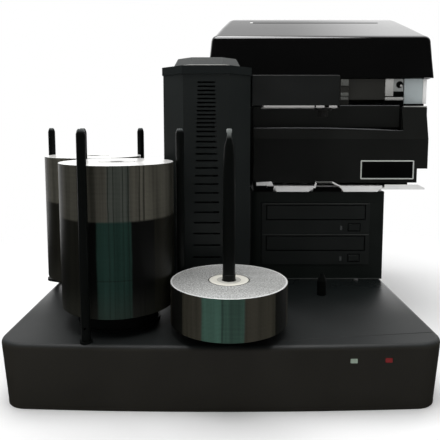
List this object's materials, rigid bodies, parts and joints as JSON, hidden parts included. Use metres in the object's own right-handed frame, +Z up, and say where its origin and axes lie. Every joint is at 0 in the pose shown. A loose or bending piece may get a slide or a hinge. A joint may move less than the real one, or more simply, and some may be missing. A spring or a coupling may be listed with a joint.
{
  "type": "disc publishing system",
  "caption": "Desktop disc publisher: base cabinet, louvred swinging pick-up tower, disc bins and spindle, recorders in a drive tower, and a disc printer with a hinged lid.",
  "frame": {"origin": "on the floor under the middle of the whole machine", "axes": "+Z up, the front with the trays and lamps looks towards -Y, +X to the right seen from the front"},
  "size_m": [0.5362, 0.5404, 0.443],
  "materials": {
    "textured_black": "fine textured dark cabinet finish",
    "plated_steel": "zinc plated sheet",
    "drive_case": "light metal case",
    "rubber": "soft black rubber",
    "black_screws": "blackened screws",
    "status_lens": "pale green lens",
    "power_lens": "red lens",
    "black_plastic": "moulded black",
    "circuit_board": "green laminate",
    "motor_steel": "dark motor case",
    "belt_rubber": "belt",
    "bearing_plastic": "natural bearing plastic",
    "machined_aluminium": "machined",
    "dark_aluminium": "black anodised casting",
    "tower_black": "satin moulded black",
    "polished_steel": "ground rod",
    "arm_black": "satin moulded black",
    "bright_plate": "bright edge",
    "post_black": "satin black rod",
    "disc_media": "stacked polycarbonate edges",
    "printed_media": "silver face over stacked edges",
    "drive_black": "drive front",
    "lamp_lens": "grey lens",
    "white_plastic": "white moulding",
    "printer_black": "satin black casing",
    "badge_frame": "bare plate with a thin rim",
    "silver_frame": "pale steel",
    "ribbon_film": "dark wound film",
    "gloss_black": "high gloss black"
  },
  "bodies": {
    "base": {"back_bin_platform": "black_plastic", "badge_plate": "badge_frame", "base_pan": "plated_steel", "base_shell": "textured_black", "bin_posts": "post_black", "case_screws": "black_screws", "control_board": "circuit_board", "drive_lamp_lenses": "lamp_lens", "drive_rails": "plated_steel", "drive_tower_shell": "textured_black", "drop_post": "post_black", "front_bin_platform": "black_plastic", "lid_hinge_pins": "polished_steel", "lower_drive_bezel": "drive_black", "lower_drive_body": "drive_case", "power_inlet": "black_plastic", "power_led_lens": "power_lens", "power_supply": "drive_case", "print_head": "machined_aluminium", "printer_base_plate": "white_plastic", "printer_body_cover": "printer_black", "printer_frame_left": "plated_steel", "printer_frame_right": "silver_frame", "printer_front_cover": "printer_black", "ribbon_bracket": "white_plastic", "ribbon_flap": "printer_black", "rubber_feet": "rubber", "spindle_base": "black_plastic", "spindle_rod": "post_black", "status_led_lens": "status_lens", "swivel_belt": "belt_rubber", "swivel_bush": "bearing_plastic", "swivel_motor": "motor_steel", "upper_drive_bezel": "drive_black", "upper_drive_body": "drive_case"},
    "swivel_motor_shaft": {"motor_pulley": "machined_aluminium"},
    "tower": {"turntable": "black_plastic", "swivel_pulley": "machined_aluminium", "tower_shell": "tower_black", "tower_cap": "tower_black", "guide_rods": "polished_steel", "lift_motor": "motor_steel"},
    "lift_screw_shaft": {"lift_screw": "polished_steel"},
    "arm": {"arm_carriage": "dark_aluminium", "arm_cover": "arm_black", "arm_plate": "bright_plate", "gripper_body": "black_plastic"},
    "jaw_inner": {"gripper_jaw_inner": "black_plastic"},
    "jaw_outer": {"gripper_jaw_outer": "black_plastic"},
    "upper_tray": {"upper_drive_tray": "drive_black"},
    "lower_tray": {"lower_drive_tray": "drive_black"},
    "upper_button": {"upper_eject_button": "drive_black"},
    "lower_button": {"lower_eject_button": "drive_black"},
    "print_tray": {"printer_tray": "white_plastic"},
    "lid": {"printer_lid": "gloss_black"},
    "supply_roll": {"ribbon_supply_roll": "ribbon_film"},
    "takeup_roll": {"ribbon_takeup_roll": "ribbon_film"},
    "front_discs": {"front_disc_stack": "disc_media"},
    "back_discs": {"back_disc_stack": "disc_media"},
    "output_discs": {"output_disc_stack": "printed_media"}
  },
  "joints": [
    {"name": "tower_swing", "type": "hinge", "parent": "base", "child": "tower", "pos_m": [-0.04797, -0.06539, 0.068], "axis": [0, 0, 1], "range_deg": [-180.8, 0]},
    {"name": "motor_spin", "type": "hinge", "parent": "base", "child": "swivel_motor_shaft", "pos_m": [-0.04797, 0.01661, 0.028], "axis": [0, 0, 1], "range_deg": [-679, 1]},
    {"name": "arm_lift", "type": "slide", "parent": "tower", "child": "arm", "axis": [0, 0, -1], "range_m": [0, 0.2]},
    {"name": "screw_spin", "type": "hinge", "parent": "tower", "child": "lift_screw_shaft", "pos_m": [-0.03597, -0.06539, 0.068], "axis": [0, 0, 1], "range_deg": [-1, 3601]},
    {"name": "jaw_out", "type": "slide", "parent": "arm", "child": "jaw_outer", "axis": [1, 0, 0], "range_m": [0, 0.0012], "stiffness_N_per_m": 60},
    {"name": "jaw_in", "type": "slide", "parent": "arm", "child": "jaw_inner", "axis": [-1, 0, 0], "range_m": [0, 0.0012]},
    {"name": "upper_tray_slide", "type": "slide", "parent": "base", "child": "upper_tray", "axis": [0, 1, 0], "range_m": [-0.1362, 0]},
    {"name": "lower_tray_slide", "type": "slide", "parent": "base", "child": "lower_tray", "axis": [0, 1, 0], "range_m": [-0.1362, 0]},
    {"name": "print_tray_slide", "type": "slide", "parent": "base", "child": "print_tray", "axis": [0, 1, 0], "range_m": [-0.1312, 0]},
    {"name": "upper_eject", "type": "slide", "parent": "base", "child": "upper_button", "axis": [0, 1, 0], "range_m": [0, 0.0015], "stiffness_N_per_m": 200},
    {"name": "lower_eject", "type": "slide", "parent": "base", "child": "lower_button", "axis": [0, 1, 0], "range_m": [0, 0.0015], "stiffness_N_per_m": 200},
    {"name": "lid_hinge", "type": "hinge", "parent": "base", "child": "lid", "pos_m": [0.10913, 0.25521, 0.351], "axis": [-1, 0, 0], "range_deg": [0, 75]},
    {"name": "takeup_turn", "type": "hinge", "parent": "base", "child": "takeup_roll", "pos_m": [0.10913, 0.17521, 0.336], "axis": [1, 0, 0], "continuous": true},
    {"name": "supply_turn", "type": "hinge", "parent": "base", "child": "supply_roll", "pos_m": [0.10913, 0.04521, 0.336], "axis": [1, 0, 0], "continuous": true},
    {"name": "front_discs_lift", "type": "slide", "parent": "base", "child": "front_discs", "axis": [0, 0, 1], "range_m": [0, 0.19]},
    {"name": "back_discs_lift", "type": "slide", "parent": "base", "child": "back_discs", "axis": [0, 0, 1], "range_m": [0, 0.19]},
    {"name": "output_discs_lift", "type": "slide", "parent": "base", "child": "output_discs", "axis": [0, 0, 1], "range_m": [0, 0.2]}
  ],
  "couplings": [
    {"joint": "motor_spin", "follows": "tower_swing", "ratio": 3.75},
    {"joint": "screw_spin", "follows": "arm_lift", "rad_per_m": 314.16},
    {"joint": "jaw_in", "follows": "jaw_out", "ratio": 1},
    {"joint": "supply_turn", "follows": "takeup_turn", "ratio": 0.625}
  ]
}
